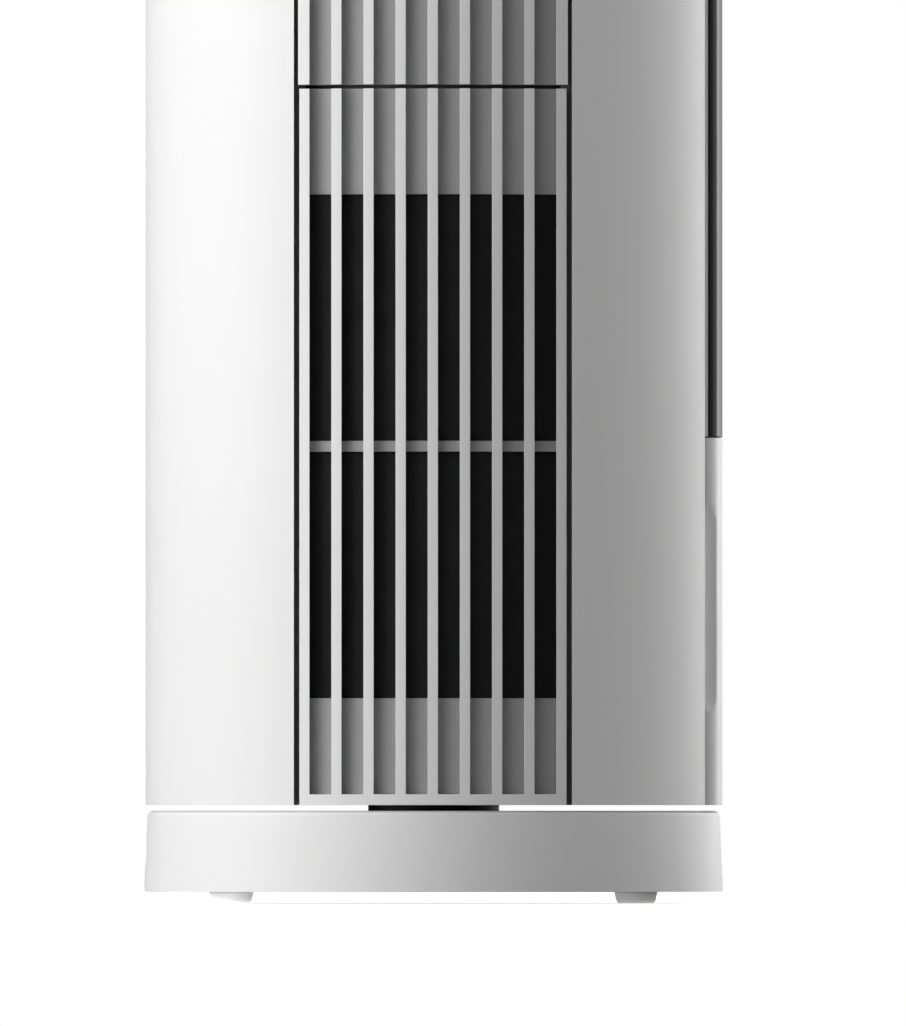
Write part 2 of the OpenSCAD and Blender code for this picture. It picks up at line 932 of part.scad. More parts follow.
module wiring_harness() {
    color(black) run([[0, 0, floor_top + 4.3], [0, 0, floor_top + 6], [0, 74, floor_top + 6], [0, 74, 58],
        [wire_x, 74, 58], [wire_x, wire_y, 66], [wire_x, wire_y, 610], [wire_x, 60, 634],
        [wire_x, 20, 640], [40, 10, 666]], 2.2);
}

// ---------- fan ----------

module fan_casing() {
    color(grey) {
        difference() {
            union() {
                at(fan_deck_z, fan_deck_z + 3) deck_2d();
                tube(casing_in + 2.5, casing_in, fan_deck_z + 2, casing_top);
                rod(inlet_r + 2, fan_deck_z + 2, impeller_z - 1);
            }
            rod(inlet_r, fan_deck_z - 1, impeller_z + 1);
            translate([0, 0, fan_deck_z - eps]) cylinder(r1 = inlet_r + 4, r2 = inlet_r, h = 5);
            translate([wire_x, wire_y, 0]) rod(3.2, fan_deck_z - 1, fan_deck_z + 4);
        }
    }
}

module blade_2d() {
    arc_r = 62;
    intersection() {
        ring_2d(impeller_r - 0.5, inlet_r + 1);
        translate([16, -arc_r + 12]) ring_2d(arc_r + 0.8, arc_r - 0.8);
        translate([0, -20]) square([100, 60]);
    }
}

module impeller() {
    top = impeller_z + impeller_h;
    color([0.75, 0.77, 0.8]) {
        difference() {
            union() {
                rod(impeller_r, top - 2, top);
                tube(impeller_r, inlet_r + 1, impeller_z, impeller_z + 1.8);
                for (k = [0 : blade_count - 1]) rotate(360 * k / blade_count)
                    at(impeller_z + 1, top - 1) blade_2d();
                rod(11, top - 16, top + 3);
            }
            rod(shaft_r + 0.02, 0, 500);
        }
    }
}

module fan_shaft() {
    color(steel) {
        rod(shaft_r, impeller_z + 22, motor_z + 26);
        translate([0, 0, impeller_z + 22.4]) cylinder(r = 7, h = 5, $fn = 6);
    }
}

module fan_motor() {
    color(steel) difference() {
        union() {
            rod(motor_r, motor_z, motor_z + 22);
            rod(motor_r - 6, motor_z + 21, motor_z + 30);
            rod(motor_r + 3, motor_z + 14, motor_z + 17);
        }
        rod(shaft_r + running, 0, motor_z + 27);
        for (a = [0 : 30 : 330]) spot(22, a) rod(3, motor_z + 25, motor_z + 40);
    }
}

module motor_bracket() {
    z0 = motor_z + 6;
    color(grey) {
        tube(casing_in - 0.05, casing_in - 3, z0, z0 + 8);
        tube(motor_r + 4, motor_r + 0.3, z0, motor_z + 14);
        for (a = [0 : 60 : 300]) rotate(a) box(motor_r + 2, casing_in - 2, -2, 2, z0, z0 + 8);
    }
}

module throat_2d(off) {
    polygon([[-59 - off, -50], [-27.5 - off, -82], [-27.5 - off, -101 - (off > 0 ? 0 : 3)],
        [27.5 + off, -101 - (off > 0 ? 0 : 3)], [27.5 + off, -82], [59 + off, -50]]);
}

module outlet_duct() {
    color(black) difference() {
        union() {
            rod(duct_r + 2, duct_z - 1, duct_top);
            rod(casing_in + 2, casing_top, duct_z);
            at(shelf_low + shelf_t + 0.4, duct_top - 0.4) throat_2d(2);
        }
        rod(duct_r, casing_top - 1, duct_top - 2);
        at(shelf_low + shelf_t + 2.4, duct_top - 2.4) throat_2d(0);
        box(-27.5, 27.5, -120, -78.9, shelf_low, duct_top + 5);
    }
}

// ---------- louvers ----------

module louver(x) {
    color(black) translate([x, louver_y, 0]) {
        box(-0.9, 0.9, -louver_chord / 2, louver_chord / 2, louver_z, louver_top);
        rod(1.9, louver_z, louver_top);
        rod(louver_pin_r, shelf_low + 0.5, louver_z + 1);
        rod(louver_pin_r, louver_top - 1, shelf_high + shelf_t - 0.4);
        box(-2.5, 2.5, -2.5, crank_arm + 2.5, louver_top - eps, louver_top + 2);
        translate([0, crank_arm, 0]) rod(louver_pin_r, louver_top + 1, louver_top + 8);
    }
}

module louver_left() {
    louver(-louver_gap);
}

module louver_middle() {
    louver(0);
}

module louver_right() {
    louver(louver_gap);
}

link_slack = 0.4;
module louver_link() {
    drop = crank_arm * (1 - cos(louver_swing));
    slot_r = louver_pin_r + link_slack;
    color(grey) difference() {
        box(-louver_gap - 4.5, louver_gap + 4.5, louver_y + crank_arm - drop - 3.8,
            louver_y + crank_arm + 3.4, louver_top + 3.2, louver_top + 5.6);
        for (x = [-louver_gap, 0, louver_gap]) translate([x, louver_y + crank_arm, 0]) {
            rod(slot_r, louver_top + 2, louver_top + 7);
            translate([0, -drop, 0]) rod(slot_r, louver_top + 2, louver_top + 7);
            box(-slot_r, slot_r, -drop, 0, louver_top + 2, louver_top + 7);
        }
    }
}

module louver_motor() {
    z0 = shelf_high + shelf_t;
    color(steel) {
        translate([0, louver_y, 0]) rod(8, z0, z0 + 17);
        box(-12, 12, louver_y - 3, louver_y + 3, z0, z0 + 1);
    }
}

// ---------- top ----------

module handle_pocket() {
    wide = handle_half + handle_frame;
    color(white) difference() {
        union() {
            intersection() {
                box(-51, 51, 82, 120, handle_z - 3, handle_z + handle_h + 3);
                rod(shell_in, 500, total_h);
            }
            intersection() {
                box(-wide, wide, 60, 120, handle_z - handle_frame, handle_z + handle_h + handle_frame);
                tube(body_r - 0.3, shell_in - 0.5, 500, total_h);
            }
        }
        box(-handle_half, handle_half, 84, 130, handle_z, handle_z + handle_h);
    }
}

rim_round = 7;
module top_cover() {
    z0 = shell_top + cap_reveal;
    color(white) {
        difference() {
            union() {
                rod(body_r, z0, total_h - rim_round);
                translate([0, 0, total_h - rim_round]) rod(body_r - rim_round, 0, rim_round);
                translate([0, 0, total_h - rim_round]) rotate_extrude() intersection() {
                    translate([body_r - rim_round, 0]) circle(rim_round);
                    square([body_r, rim_round]);
                }
            }
            rod(shell_in, z0 - 1, total_h - rim_round);
            rod(shell_in - 4.5, z0 - 1, total_h - 2.8);
            rod(control_r + 0.5, z0 - 1, total_h + 1);
        }
        for (a = concat(boss_angles_rear, boss_angles_front)) spot(boss_ring_r - 1, a)
            rod(boss_r, shell_top, total_h - 2);
        tube(control_r + 3, control_r - 3, panel_face - panel_t - 2.5, panel_face - panel_t);
        tube(control_r + 3, control_r + 0.5, panel_face - panel_t - 1, total_h - 2);
    }
}

module button_place(i) {
    translate([(i - 1) * button_step, button_y, 0]) children();
}

module control_panel() {
    color(black) difference() {
        union() {
            rod(control_r, panel_face - panel_t, panel_face);
            for (x = [-62, 62], y = [-40, 10]) translate([x, y, 0]) rod(3, board_z + 1.6, panel_face - 1);
        }
        for (i = [0 : 2]) button_place(i) rod(button_r + 0.3, 0, total_h + 10);
    }
}

module control_board() {
    color([0.1, 0.35, 0.2]) {
        box(-68, 68, -70, 16, board_z, board_z + 1.6);
        for (i = [0 : 2]) button_place(i) {
            box(-3, 3, -3, 3, board_z + 1, board_z + 5);
            rod(1.75, board_z + 4, stem_z - 1.4);
        }
        box(-20, 20, -30, -12, board_z + 1, board_z + 4);
        translate([40, 0, 0]) rod(6, board_z + 1, board_z + 10);
    }
}

module button(i) {
    color(black) button_place(i) {
        rod(button_r, panel_face - panel_t + 0.6, panel_face + button_proud);
        rod(2.6, stem_z, panel_face - panel_t + 1);
        rod(button_r + 1.6, panel_face - panel_t - 1.8, panel_face - panel_t - 0.6);
        rod(button_r, panel_face - panel_t - 1, panel_face - panel_t + 1);
    }
}

module button_power() {
    button(1);
}

module button_speed() {
    button(0);
}

module button_swing() {
    button(2);
}

base_shell();
base_plate();
rubber_feet();
base_screws();
ballast_plates();
swivel_bush();
swing_motor();
power_inlet();
supply_lead();
swing_pinion();
neck_column();
swing_gear();
tower_floor();
tower_screws();
rear_shell();
rear_shell_upper();
front_shell();
upper_grille_left();
upper_grille_right();
front_frame();
front_panel();
trim_strips();
outlet_grille();
display_module();
tank_cradle();
drip_tray();
cooling_pads();
water_troughs();
pump_body();
pump_rotor();
pump_hose();
rear_bulkhead();
power_board();
wiring_harness();
fan_casing();
motor_bracket();
fan_motor();
fan_shaft();
impeller();
outlet_duct();
louver_left();
louver_middle();
louver_right();
louver_link();
louver_motor();
filter_cover_left();
filter_left();
filter_cover_right();
filter_right();
water_tank();
tank_front();
tank_lid();
level_float();
handle_pocket();
top_cover();
control_panel();
control_board();
button_power();
button_speed();
button_swing();
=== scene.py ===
import bpy
import bmesh
import json
import math
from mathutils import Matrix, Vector


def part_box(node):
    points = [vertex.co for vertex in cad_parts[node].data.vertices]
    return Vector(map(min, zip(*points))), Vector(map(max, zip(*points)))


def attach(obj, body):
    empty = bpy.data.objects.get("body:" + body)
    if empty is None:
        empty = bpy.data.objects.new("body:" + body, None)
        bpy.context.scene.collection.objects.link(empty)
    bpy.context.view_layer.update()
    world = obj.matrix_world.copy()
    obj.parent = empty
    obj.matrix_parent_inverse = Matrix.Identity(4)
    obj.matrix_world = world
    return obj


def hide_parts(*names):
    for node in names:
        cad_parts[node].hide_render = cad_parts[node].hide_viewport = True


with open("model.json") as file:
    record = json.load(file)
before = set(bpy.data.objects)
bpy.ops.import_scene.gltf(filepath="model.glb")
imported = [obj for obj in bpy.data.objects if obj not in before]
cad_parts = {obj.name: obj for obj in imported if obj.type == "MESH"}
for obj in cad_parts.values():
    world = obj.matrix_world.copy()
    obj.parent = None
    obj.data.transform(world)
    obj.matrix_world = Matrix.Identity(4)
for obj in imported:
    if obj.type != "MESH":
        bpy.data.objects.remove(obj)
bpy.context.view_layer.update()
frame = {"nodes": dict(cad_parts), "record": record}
N = frame["nodes"]
scene = bpy.context.scene

# ---------------------------------------------------------------- camera
MM = 0.001
VIEW_H = 391.87044 * MM             # height of the view at the tower's axis
SENSOR = 36.0
LENS = 1500.0                       # far away, so that the lines stay parallel
DIST = VIEW_H * LENS / SENSOR
SHIFT = 0.05
cam_data = bpy.data.cameras.new("camera")
cam = bpy.data.objects.new("camera", cam_data)
scene.collection.objects.link(cam)
cam_data.lens = LENS
cam_data.sensor_width = SENSOR
cam_data.shift_y = SHIFT
cam_data.clip_start = 1.0
cam_data.clip_end = 60.0
AIM_SIDE, AIM_Z = 7.4 * MM, 149.03 * MM      # towards the front, and up
TURN = math.radians(0.13)           # the camera stands a touch to the front of the side
CAM_Z = 37.5 * MM                   # level with the open gap, so that it is seen through
TILT = math.atan((AIM_Z - SHIFT * VIEW_H - CAM_Z) / DIST)
cam.location = (-DIST * math.cos(TURN) + AIM_SIDE * math.sin(TURN),
                -DIST * math.sin(TURN) - AIM_SIDE * math.cos(TURN), CAM_Z)
cam.rotation_euler = (math.radians(90) + TILT, 0, math.radians(-90) + TURN)
scene.camera = cam
scene.view_settings.view_transform = "Standard"
scene.view_settings.look = "None"

# ---------------------------------------------------------------- node helpers


def new_material(name):
    m = bpy.data.materials.new(name)
    m.use_nodes = True
    nt = m.node_tree
    nt.nodes.clear()
    out = nt.nodes.new("ShaderNodeOutputMaterial")
    bsdf = nt.nodes.new("ShaderNodeBsdfPrincipled")
    nt.links.new(bsdf.outputs[0], out.inputs[0])
    return m, nt, bsdf


def add(nt, kind, **vals):
    n = nt.nodes.new(kind)
    for k, v in vals.items():
        if hasattr(n, k) and k not in n.inputs:
            setattr(n, k, v)
        else:
            n.inputs[k].default_value = v
    return n


def noise(nt, scale, detail=3.0, rough=0.5):
    tc = add(nt, "ShaderNodeTexCoord")
    n = add(nt, "ShaderNodeTexNoise", Scale=scale, Detail=detail, Roughness=rough)
    nt.links.new(tc.outputs["Object"], n.inputs["Vector"])
    return n


def spread(nt, source, lo, hi, from_lo=0.3, from_hi=0.7):
    r = add(nt, "ShaderNodeMapRange")
    r.inputs["From Min"].default_value = from_lo
    r.inputs["From Max"].default_value = from_hi
    r.inputs["To Min"].default_value = lo
    r.inputs["To Max"].default_value = hi
    nt.links.new(source, r.inputs["Value"])
    return r.outputs[0]


skin_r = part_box("upper_grille_right")[1][0]      # the tower's outer radius
SHADE_START, SHADE_FULL = 0.5 * MM, 2.6 * MM       # depths below it where the painted shade in a groove starts, and where it is full


def plastic(name, color, rough=0.38, vary=0.02, grain=900.0, bump=0.06, depth=0.00004,
            coat=0.0, spec=0.5, transmission=0.0, metal=0.0, painted_shade=None):
    """Moulded plastic or metal: fine grain in the bump, slow drift in colour and gloss, and, if asked,
    painted shade below the tower's skin.
    """
    m, nt, b = new_material(name)
    slow = noise(nt, 9.0, 2.0)
    ramp = add(nt, "ShaderNodeValToRGB")
    c0 = [c * (1 - vary) for c in color]
    c1 = [min(1.0, c * (1 + vary)) for c in color]
    ramp.color_ramp.elements[0].position = 0.3
    ramp.color_ramp.elements[1].position = 0.7
    ramp.color_ramp.elements[0].color = (*c0, 1)
    ramp.color_ramp.elements[1].color = (*c1, 1)
    nt.links.new(slow.outputs[0], ramp.inputs[0])
    shade = ramp.outputs[0]
    if painted_shade:
        # painted shade: below the tower's outer skin, in the grooves and seams, the colour is darkened
        # where shade falls
        place = add(nt, "ShaderNodeTexCoord")
        flat = add(nt, "ShaderNodeVectorMath", operation="MULTIPLY")
        flat.inputs[1].default_value = (1, 1, 0)
        nt.links.new(place.outputs["Object"], flat.inputs[0])
        far = add(nt, "ShaderNodeVectorMath", operation="LENGTH")
        nt.links.new(flat.outputs[0], far.inputs[0])
        shade_tint = add(nt, "ShaderNodeMixRGB", blend_type="MULTIPLY")
        shade_tint.inputs["Color2"].default_value = (painted_shade, painted_shade, painted_shade, 1)
        painted_shade_mask = spread(nt, far.outputs["Value"], 1.0, 0.0, skin_r - SHADE_FULL, skin_r - SHADE_START)
        nt.links.new(painted_shade_mask, shade_tint.inputs["Fac"])
        nt.links.new(shade, shade_tint.inputs["Color1"])
        shade = shade_tint.outputs[0]
    nt.links.new(shade, b.inputs["Base Color"])
    mid = noise(nt, 60.0, 3.0)
    nt.links.new(spread(nt, mid.outputs[0], rough * 0.93, rough * 1.07), b.inputs["Roughness"])
    fine = noise(nt, grain, 2.0, 0.6)
    bp = add(nt, "ShaderNodeBump", Strength=bump, Distance=depth)
    nt.links.new(fine.outputs[0], bp.inputs["Height"])
    nt.links.new(bp.outputs[0], b.inputs["Normal"])
    b.inputs["Specular IOR Level"].default_value = spec
    b.inputs["Coat Weight"].default_value = coat
    b.inputs["Metallic"].default_value = metal
    b.inputs["Transmission Weight"].default_value = transmission
    return m


WHITE = (0.83, 0.83, 0.828)
MAT = {
    "shell_white": plastic("white_moulded_plastic", WHITE, 0.42, 0.008, 1400, 0.05, spec=0.2),
    "dark_plastic": plastic("dark_moulded_plastic", (0.018, 0.018, 0.02), 0.42, 0.08, 1100, 0.12),
    "grey_plastic": plastic("grey_moulded_plastic", (0.2, 0.205, 0.21), 0.5, 0.04, 1000, 0.12),
    "fascia_black": plastic("black_gloss_panel", (0.004, 0.004, 0.0045), 0.2, 0.1, 300, 0.01, spec=0.05),
    "foot_rubber": plastic("pale_rubber", (0.62, 0.62, 0.61), 0.7, 0.03, 1600, 0.3),
    "screw_steel": plastic("zinc_steel", (0.55, 0.55, 0.56), 0.32, 0.05, 1500, 0.1, metal=1.0),
    "ballast_steel": plastic("painted_steel", (0.05, 0.05, 0.053), 0.5, 0.06, 700, 0.2),
    "bearing_plastic": plastic("acetal_plastic", (0.72, 0.69, 0.6), 0.4, 0.03, 1000, 0.08),
    "motor_steel": plastic("motor_steel", (0.5, 0.51, 0.53), 0.35, 0.05, 1200, 0.12, metal=1.0),
    "lead_rubber": plastic("cable_jacket", (0.02, 0.02, 0.02), 0.6, 0.08, 1500, 0.25),
    "trim_metal": plastic("satin_trim", (0.09, 0.09, 0.095), 0.32, 0.04, 1500, 0.06, spec=0.1),
    "display_glass": plastic("smoked_display", (0.01, 0.012, 0.014), 0.08, 0.05, 300, 0.01, coat=0.5),
    "pad_paper": plastic("pad_paper", (0.36, 0.22, 0.11), 0.85, 0.12, 500, 0.5, depth=0.0002),
    "hose_clear": plastic("clear_hose", (0.7, 0.78, 0.8), 0.15, 0.02, 400, 0.03, transmission=0.7),
    "circuit_board": plastic("circuit_board", (0.02, 0.13, 0.06), 0.35, 0.1, 500, 0.1),
    "fan_plastic": plastic("fan_plastic", (0.45, 0.48, 0.52), 0.38, 0.03, 1000, 0.08),
    "filter_black": plastic("black_filter", (0.012, 0.012, 0.013), 0.7, 0.1, 1500, 0.4),
    "tank_clear": plastic("tinted_tank", (0.7, 0.8, 0.86), 0.22, 0.02, 500, 0.03, transmission=0.4),
    "float_red": plastic("float_plastic", (0.6, 0.1, 0.04), 0.4, 0.04, 900, 0.1),
    "button_dark": plastic("button_plastic", (0.03, 0.03, 0.032), 0.3, 0.06, 1200, 0.1),
}
# white plastic for the slotted parts, with painted shade darkening its grooves and seams
SHADED_GROOVE_PLASTIC = plastic("white_slotted_plastic_painted_shade", WHITE, 0.42, 0.008, 1400, 0.05, spec=0.2, painted_shade=0.62)
slot_of = {s["node"]: s["material_slot"] for s in frame["record"]["subparts"]}
for name, obj in N.items():
    obj.data.materials.clear()
    # the slotted parts take the white plastic with painted shade in its grooves and seams
    grooved = name.startswith(("rear_shell", "front_shell", "upper_grille", "filter_cover"))
    obj.data.materials.append(SHADED_GROOVE_PLASTIC if grooved else MAT[slot_of[name]])


# ---------------------------------------------------------------- rounded edges on the CAD shapes
def refine(name, width):
    """Weld and clean a CAD shape's mesh, and round its edges by a width in millimetres."""
    o = N[name]
    bpy.context.view_layer.objects.active = o
    o.select_set(True)
    if o.data.has_custom_normals:
        bpy.ops.mesh.customdata_custom_splitnormals_clear()
    o.select_set(False)
    w = o.modifiers.new("weld", "WELD")
    w.merge_threshold = 0.002 * MM
    d = o.modifiers.new("planar", "DECIMATE")
    d.decimate_type = "DISSOLVE"
    d.angle_limit = math.radians(0.4)
    b = o.modifiers.new("edges", "BEVEL")
    b.width = width * MM
    b.segments = 2
    b.limit_method = "ANGLE"
    b.angle_limit = math.radians(28)
    b.use_clamp_overlap = True
    b.harden_normals = False
    b.miter_outer = "MITER_ARC"
    n = o.modifiers.new("normals", "WEIGHTED_NORMAL")
    n.keep_sharp = True
    n.weight = 60
    for p in o.data.polygons:
        p.use_smooth = True


# parts beside a narrow seam have small edges, so that the seam keeps its width
FINE = ("filter_cover", "upper_grille", "rear_shell", "front_shell", "front_frame", "front_panel",
        "trim_strips")
FINE_EDGE, EDGE = 0.13, 0.3
for name in N:
    refine(name, FINE_EDGE if name.startswith(FINE) else EDGE)


# ---------------------------------------------------------------- detail pieces
def mesh_piece(name, verts, faces, body, slot, smooth=False):
    me = bpy.data.meshes.new(name)
    me.from_pydata(verts, [], faces)
    me.update()
    o = bpy.data.objects.new(name, me)
    scene.collection.objects.link(o)
    me.materials.append(MAT[slot])
    if smooth:
        for p in me.polygons:
            p.use_smooth = True
    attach(o, body)
    return o


def thread(verts, faces, path, side, up, r):
    """A four-sided strand along path; side and up give its thin directions at each point."""
    n = len(verts)
    for p, a, c in zip(path, side, up):
        for k in range(4):
            t = math.pi / 2 * k
            verts.append(p + (a * math.cos(t) + c * math.sin(t)) * r)
    for i in range(len(path) - 1):
        for k in range(4):
            q = n + i * 4
            faces.append((q + k, q + (k + 1) % 4, q + 4 + (k + 1) % 4, q + 4 + k))
    faces.append(tuple(n + k for k in (3, 2, 1, 0)))
    faces.append(tuple(n + (len(path) - 1) * 4 + k for k in range(4)))


FRAME_BAR = 6 * MM                   # bar between the upper and the lower pockets of a filter
POCKET_STEP, POCKET_HALF = 30.4, 13.8     # pocket to pocket, and half a pocket with its overlap, mm


def filter_mesh(side):
    """Woven mesh in the six pockets of a filter frame."""
    lo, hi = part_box("filter_" + side)
    far = max(abs(lo[0]), abs(hi[0]))
    sign = -1 if side == "left" else 1
    radius = far - 0.9 * MM
    z0, z1 = lo[2], hi[2]
    row_step = (z1 - z0 - FRAME_BAR) / 2
    overlap = 0.4 * MM
    tall = row_step - FRAME_BAR / 2
    pitch, r, wave = 2.2 * MM, 0.26 * MM, 0.2 * MM
    verts, faces = [], []
    up = Vector((0, 0, 1))
    for row in (0, 1):
        low = z0 + FRAME_BAR + row * row_step - overlap
        high = low + tall + 2 * overlap
        for col in (-1, 0, 1):
            left = (col * POCKET_STEP - POCKET_HALF) * MM
            right = (col * POCKET_STEP + POCKET_HALF) * MM
            nz, ny = int((high - low) / pitch), int((right - left) / pitch)
            ys = [left + (right - left) * (j + 0.5) / ny for j in range(ny)]
            zs = [low + (high - low) * (i + 0.5) / nz for i in range(nz)]

            def place(y, z, lift):
                x = math.sqrt((radius + lift) ** 2 - y * y)
                return Vector((sign * x, y, z)), Vector((sign * x, y, 0)).normalized()

            for j, y in enumerate(ys):
                pts = [place(y, z, wave * (1 if (i + j) % 2 else -1))
                       for i, z in enumerate([low] + zs + [high])]
                out = [p[1] for p in pts]
                side_v = [up.cross(d) for d in out]
                thread(verts, faces, [p[0] for p in pts], side_v, out, r)
            for i, z in enumerate(zs):
                pts = [place(y, z, wave * (-1 if (i + j) % 2 else 1))
                       for j, y in enumerate([left] + ys + [right])]
                thread(verts, faces, [p[0] for p in pts], [up] * len(pts), [p[1] for p in pts], r)
    mesh_piece("filter_mesh_" + side, verts, faces, side + "_cover", "filter_black", True)


filter_mesh("left")
filter_mesh("right")


def pleated_pads():
    """Corrugated paper sheets, side by side, with their flutes slanting to and fro."""
    lo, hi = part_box("cooling_pads")
    verts, faces = [], []
    sheets, nx, nz = 26, 4, 132
    thick, wide = 0.3 * MM, 14 * MM
    flute, flute_pitch, margin = 1.5 * MM, 9 * MM, 2.2 * MM
    inner = hi[0] - wide
    y_step = (hi[1] - lo[1] - 2 * margin) / (sheets - 1)
    for sign in (-1, 1):
        for s in range(sheets):
            y0 = lo[1] + margin + s * y_step
            slant = 0.8 if s % 2 else -0.8
            for off in (-thick / 2, thick / 2):
                base = len(verts)
                for i in range(nz + 1):
                    z = lo[2] + (hi[2] - lo[2]) * i / nz
                    for k in range(nx + 1):
                        x = inner + (hi[0] - inner) * k / nx
                        phase = 2 * math.pi * (z + slant * (x - inner)) / flute_pitch
                        y = y0 + off + flute * math.sin(phase)
                        verts.append((sign * x, y, z))
                for i in range(nz):
                    for k in range(nx):
                        q = base + i * (nx + 1) + k
                        f = (q, q + 1, q + nx + 2, q + nx + 1)
                        faces.append(f if (off > 0) == (sign < 0) else f[::-1])
            # close the sheet's edges, so that it is a solid
            a0 = len(verts) - 2 * (nz + 1) * (nx + 1)
            b0 = a0 + (nz + 1) * (nx + 1)
            ring = list(range(nx + 1))
            ring += [i * (nx + 1) + nx for i in range(1, nz + 1)]
            ring += [nz * (nx + 1) + k for k in range(nx - 1, -1, -1)]
            ring += [i * (nx + 1) for i in range(nz - 1, 0, -1)]
            for u, v in zip(ring, ring[1:] + ring[:1]):
                f = (a0 + u, a0 + v, b0 + v, b0 + u)
                faces.append(f if sign > 0 else f[::-1])
    pads = mesh_piece("pleated_pads", verts, faces, "tower", "pad_paper", True)
    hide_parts("cooling_pads")


pleated_pads()


def lathe(verts, faces, profile, cx, cy, count=64):
    """A closed profile of (radius, height) turned round an upright axis."""
    base, n = len(verts), len(profile)
    for i in range(count):
        t = 2 * math.pi * i / count
        for r, z in profile:
            verts.append((cx + r * math.cos(t), cy + r * math.sin(t), z))
    for i in range(count):
        j = (i + 1) % count
        for k in range(n):
            m = (k + 1) % n
            faces.append((base + i * n + k, base + j * n + k, base + j * n + m, base + i * n + m))


def panel_details():
    """A thin ring round each button, and a row of three small lamp lenses behind each."""
    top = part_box("control_panel")[1][2]
    verts, faces = [], []
    lenses, lens_faces = [], []
    for name in ("button_speed", "button_power", "button_swing"):
        lo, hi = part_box(name)
        cx, cy = (lo[0] + hi[0]) / 2, (lo[1] + hi[1]) / 2
        r0, r1, h, e = 7.5 * MM, 8.7 * MM, 0.3 * MM, 0.1 * MM
        z = top - 0.05 * MM
        ring = [(r0, z), (r1, z), (r1, z + h), (r1 - e, z + h + e), (r0 + e, z + h + e), (r0, z + h)]
        lathe(verts, faces, ring, cx, cy)
        for k in (-1, 0, 1):
            x, y = cx + k * 5 * MM, cy + 15 * MM
            r, core, low = 0.9 * MM, 0.05 * MM, z - 0.2 * MM
            dome = [(r * math.cos(a), z + 0.4 * r * math.sin(a)) for a in (0, 0.35, 0.7, 1.05, 1.4)]
            lathe(lenses, lens_faces, [(core, low), (r, low)] + dome + [(core, z + 0.4 * r)], x, y, 24)
    mesh_piece("button_rings", verts, faces, "tower", "trim_metal", True)
    mesh_piece("lamp_lenses", lenses, lens_faces, "tower", "hose_clear", True)


panel_details()


def tank_marks():
    """Raised level lines on the side of the tank, every second one longer."""
    lo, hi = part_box("water_tank")
    verts, faces = [], []
    x = hi[0]
    for i in range(9):
        z = lo[2] + (14 + 12 * i) * MM
        reach = (14 if i % 2 == 0 else 8) * MM
        y0, y1 = lo[1] + 6 * MM, lo[1] + 6 * MM + reach
        w, h, e = 0.45 * MM, 0.45 * MM, 0.15 * MM
        base = len(verts)
        for xx, g in ((x - 0.1 * MM, 0), (x + h - e, 0), (x + h, e)):
            verts += [(xx, y0 + g, z - w + g), (xx, y1 - g, z - w + g),
                      (xx, y1 - g, z + w - g), (xx, y0 + g, z + w - g)]
        for a in (0, 4):
            for k in range(4):
                m = (k + 1) % 4
                faces.append((base + a + k, base + a + m, base + a + 4 + m, base + a + 4 + k))
        faces.append(tuple(base + 8 + k for k in range(4)))
        faces.append(tuple(base + k for k in (3, 2, 1, 0)))
    mesh_piece("tank_level_lines", verts, faces, "tank", "tank_clear")


tank_marks()

# ---------------------------------------------------------------- floor and light
# a soft bright spot under the base, stronger towards the back, where it lights the rear feet
SPOT_FRONT, SPOT_BACK = 0.66, 3.3
SPOT_R0, SPOT_R1 = 97 * MM, 108 * MM         # the spot fades out between these radii
SPOT_Y0, SPOT_Y1 = 62 * MM, 90 * MM          # and grows between these distances to the back


def pale_floor():
    """White to the camera; other rays meet a grey floor with the bright spot on it."""
    me = bpy.data.meshes.new("floor")
    bm = bmesh.new()
    bmesh.ops.create_circle(bm, cap_ends=True, segments=96, radius=3.0)
    bm.to_mesh(me)
    bm.free()
    floor = bpy.data.objects.new("floor", me)
    scene.collection.objects.link(floor)
    m, nt, b = new_material("pale_floor")
    b.inputs["Base Color"].default_value = (0.16, 0.16, 0.16, 1)
    b.inputs["Roughness"].default_value = 0.9
    bright = nt.nodes.new("ShaderNodeBsdfDiffuse")
    bright.inputs["Color"].default_value = (0.95, 0.95, 0.95, 1)
    glow = nt.nodes.new("ShaderNodeEmission")
    glow.inputs["Strength"].default_value = 0.5
    both = nt.nodes.new("ShaderNodeAddShader")
    nt.links.new(bright.outputs[0], both.inputs[0])
    nt.links.new(glow.outputs[0], both.inputs[1])
    seen = nt.nodes.new("ShaderNodeLightPath")
    pick = nt.nodes.new("ShaderNodeMixShader")
    nt.links.new(seen.outputs["Is Camera Ray"], pick.inputs[0])
    # the spot is seen by the feet, but not by the camera
    where = nt.nodes.new("ShaderNodeTexCoord")
    dist = nt.nodes.new("ShaderNodeVectorMath")
    dist.operation = "LENGTH"
    nt.links.new(where.outputs["Object"], dist.inputs[0])
    spot = spread(nt, dist.outputs["Value"], 1.0, 0.0, SPOT_R0, SPOT_R1)
    lit = nt.nodes.new("ShaderNodeEmission")
    scale = nt.nodes.new("ShaderNodeMath")
    scale.operation = "MULTIPLY"
    cut = nt.nodes.new("ShaderNodeSeparateXYZ")
    nt.links.new(where.outputs["Object"], cut.inputs[0])
    nt.links.new(spread(nt, cut.outputs[1], SPOT_FRONT, SPOT_BACK, SPOT_Y0, SPOT_Y1), scale.inputs[1])
    nt.links.new(spot, scale.inputs[0])
    nt.links.new(scale.outputs[0], lit.inputs["Strength"])
    under = nt.nodes.new("ShaderNodeAddShader")
    nt.links.new(b.outputs[0], under.inputs[0])
    nt.links.new(lit.outputs[0], under.inputs[1])
    nt.links.new(under.outputs[0], pick.inputs[1])
    nt.links.new(both.outputs[0], pick.inputs[2])
    nt.links.new(pick.outputs[0], nt.nodes["Material Output"].inputs[0])
    me.materials.append(m)
    return floor


floor = pale_floor()

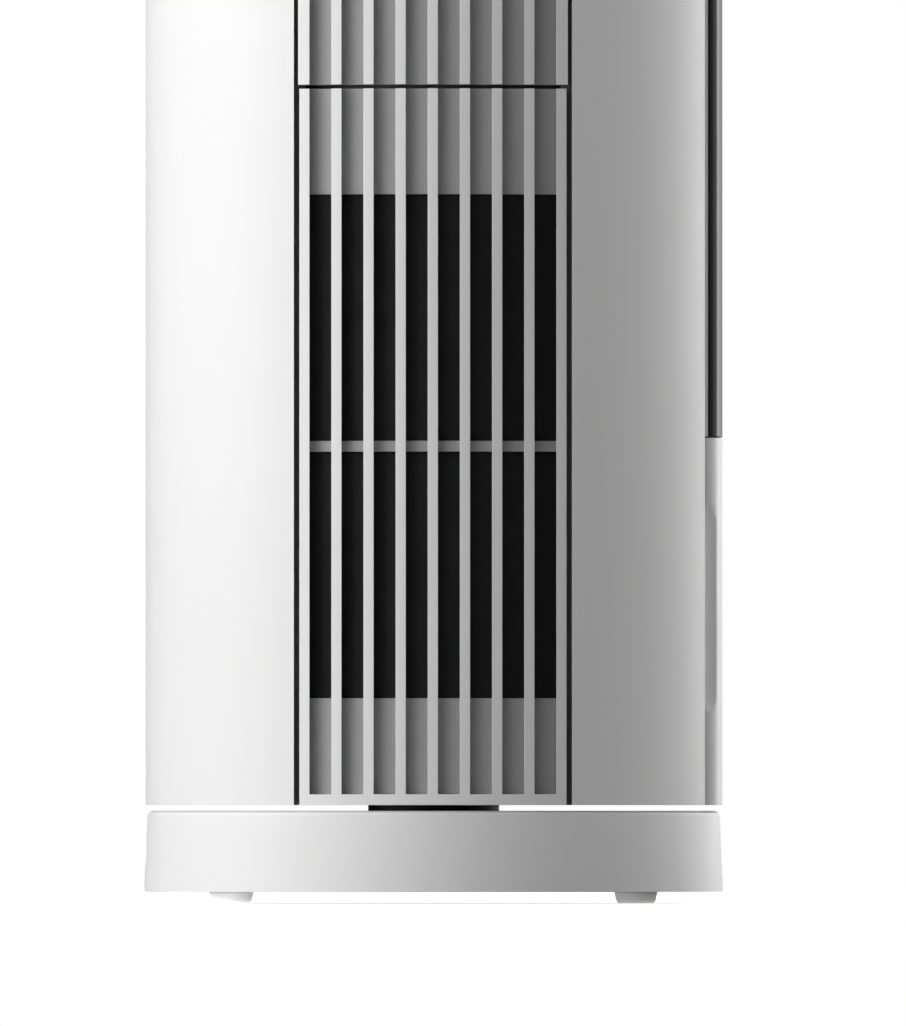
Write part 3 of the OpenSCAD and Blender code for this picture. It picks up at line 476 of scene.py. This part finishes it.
# Soft upright banks of light round the object: azimuth, spread and strength. Azimuth and spread are in
# degrees; 0 is the camera's side, -X, 90 the front, -Y, and -90 the back.
BANKS = [
    (-79, 12.5, 4.1),               # at the back, for the bright rear edge
    (-54, 15, 1.25),                # fill from there towards the camera
    (-31, 12.5, 1.5),
    (121, 22, 2.35),                # in front, from the far side
    (147, 11, 1.85),
]
AMBIENT = 0.04
PEAK = 4.6                           # keeps the ramp's colours below 1
GAIN = 1.34
EL_MID, EL_WIDTH = 10, 45            # the banks' height over the horizon and its spread, in degrees


def level(deg):
    """Light from one azimuth."""
    s = AMBIENT
    for middle, width, strength in BANKS:
        d = (deg - middle + 180) % 360 - 180
        s += strength * math.exp(-(d / width) ** 2 / 2)
    return s


def math_node(nt, op, a, b=None):
    n = nt.nodes.new("ShaderNodeMath")
    n.operation = op
    for i, v in enumerate((a, b)):
        if v is None:
            continue
        if isinstance(v, (int, float)):
            n.inputs[i].default_value = v
        else:
            nt.links.new(v, n.inputs[i])
    return n.outputs[0]


def studio_light():
    """The banks light the object; the camera sees plain white."""
    world = bpy.data.worlds.new("studio")
    scene.world = world
    world.use_nodes = True
    nt = world.node_tree
    nt.nodes.clear()
    out = nt.nodes.new("ShaderNodeOutputWorld")
    tc = nt.nodes.new("ShaderNodeTexCoord")
    sep = nt.nodes.new("ShaderNodeSeparateXYZ")
    nt.links.new(tc.outputs["Generated"], sep.inputs[0])
    # azimuth from the camera's side: 0 is -X, a quarter turn is the front, -Y
    az = math_node(nt, "ARCTAN2", math_node(nt, "MULTIPLY", sep.outputs[1], -1.0),
                   math_node(nt, "MULTIPLY", sep.outputs[0], -1.0))
    az01 = math_node(nt, "ADD", math_node(nt, "DIVIDE", az, 2 * math.pi), 0.5)
    ramp = nt.nodes.new("ShaderNodeValToRGB")
    ramp.color_ramp.interpolation = "EASE"
    els = ramp.color_ramp.elements
    # places of the ramp's stops, close together where the light changes fast
    stops = [-180, -150, -125, -112, -102, -93, -84, -75, -66, -57, -48, -39, -30, -20, -8, 10, 60, 74, 86,
             98, 110, 122, 132, 142, 150, 158, 166, 174]
    els[0].position, els[1].position = 0.0, 1.0
    els[0].color = els[1].color = (*([level(-180) / PEAK] * 3), 1)
    for d in stops[1:]:
        e = els.new((d + 180) / 360)
        e.color = (*([level(d) / PEAK] * 3), 1)
    nt.links.new(az01, ramp.inputs[0])
    el = math_node(nt, "ARCSINE", sep.outputs[2])
    x = math_node(nt, "DIVIDE", math_node(nt, "SUBTRACT", el, math.radians(EL_MID)), math.radians(EL_WIDTH))
    gauss = math_node(nt, "EXPONENT", math_node(nt, "MULTIPLY", math_node(nt, "MULTIPLY", x, x), -1.0))
    power = math_node(nt, "MULTIPLY", gauss, PEAK * GAIN)
    env = nt.nodes.new("ShaderNodeBackground")
    nt.links.new(ramp.outputs[0], env.inputs["Color"])
    nt.links.new(power, env.inputs["Strength"])
    plain = nt.nodes.new("ShaderNodeBackground")
    plain.inputs["Color"].default_value = (1, 1, 1, 1)
    plain.inputs["Strength"].default_value = 1.0
    lp = nt.nodes.new("ShaderNodeLightPath")
    mix = nt.nodes.new("ShaderNodeMixShader")
    nt.links.new(lp.outputs["Is Camera Ray"], mix.inputs[0])
    nt.links.new(env.outputs[0], mix.inputs[1])
    nt.links.new(plain.outputs[0], mix.inputs[2])
    nt.links.new(mix.outputs[0], out.inputs["Surface"])


studio_light()
